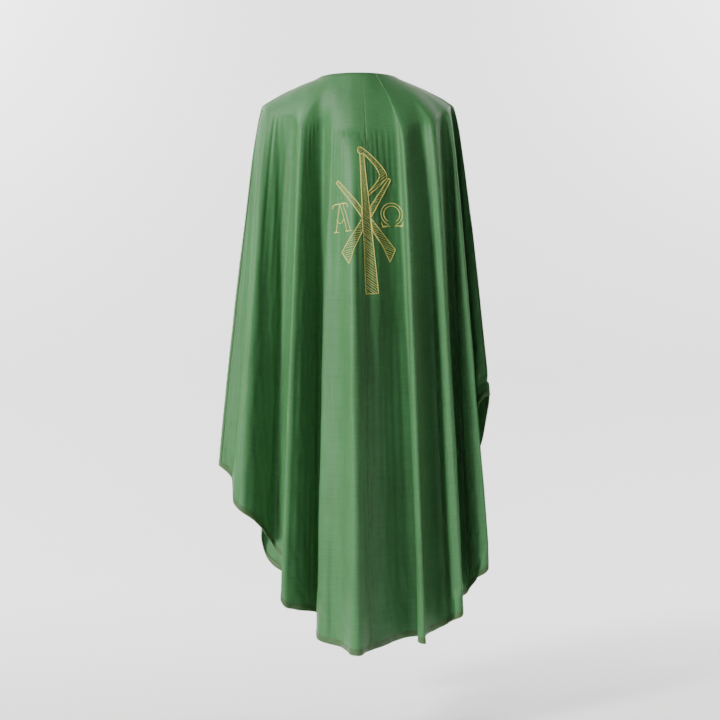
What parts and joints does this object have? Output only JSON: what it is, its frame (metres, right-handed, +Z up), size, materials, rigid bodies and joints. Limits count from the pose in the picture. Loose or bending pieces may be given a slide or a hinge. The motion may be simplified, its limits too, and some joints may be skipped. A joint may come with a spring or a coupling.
{
  "type": "chasuble",
  "caption": "Full-cut sleeveless liturgical vestment hanging as worn, round neck opening, deep folds, gold embroidered Chi-Rho with Alpha and Omega on the back.",
  "frame": {"origin": "middle of the neckline at shoulder height, where the garment rests on the wearer", "axes": "+Z up, the wearer faces -Y so the embroidered back is on the +Y side, +X towards the wearer's left"},
  "size_m": [0.6432, 0.5108, 1.3062],
  "materials": {
    "backing": "thin non-woven embroidery backing",
    "cloth": "fine plain-weave polyester with a slight sheen",
    "facing": "the same cloth, cut to the neckline",
    "gold_hatching": "fine gold thread in open hatching over the cloth",
    "gold_satin": "gold satin-stitch thread",
    "hem": "the same cloth turned up and stitched",
    "seam": "the same cloth, pressed and stitched"
  },
  "bodies": {
    "root": {"alpha": "gold_satin", "arm_lower_left_hatching": "gold_hatching", "arm_lower_left_outline": "gold_satin", "arm_lower_right_hatching": "gold_hatching", "arm_lower_right_outline": "gold_satin", "arm_upper_left_hatching": "gold_hatching", "arm_upper_left_outline": "gold_satin", "arm_upper_right_hatching": "gold_hatching", "arm_upper_right_outline": "gold_satin", "back_left_hem": "hem", "back_left_panel": "cloth", "back_right_hem": "hem", "back_right_panel": "cloth", "back_seam_allowance_lower": "seam", "back_seam_allowance_upper": "seam", "bowl_hatching": "gold_hatching", "bowl_outline": "gold_satin", "embroidery_backing": "backing", "front_left_hem": "hem", "front_left_panel": "cloth", "front_right_hem": "hem", "front_right_panel": "cloth", "front_seam_allowance": "seam", "neck_facing_back": "facing", "neck_facing_front": "facing", "omega": "gold_satin", "shoulder_seam_left": "seam", "shoulder_seam_right": "seam", "staff_hatching": "gold_hatching", "staff_outline": "gold_satin"}
  },
  "joints": []
}
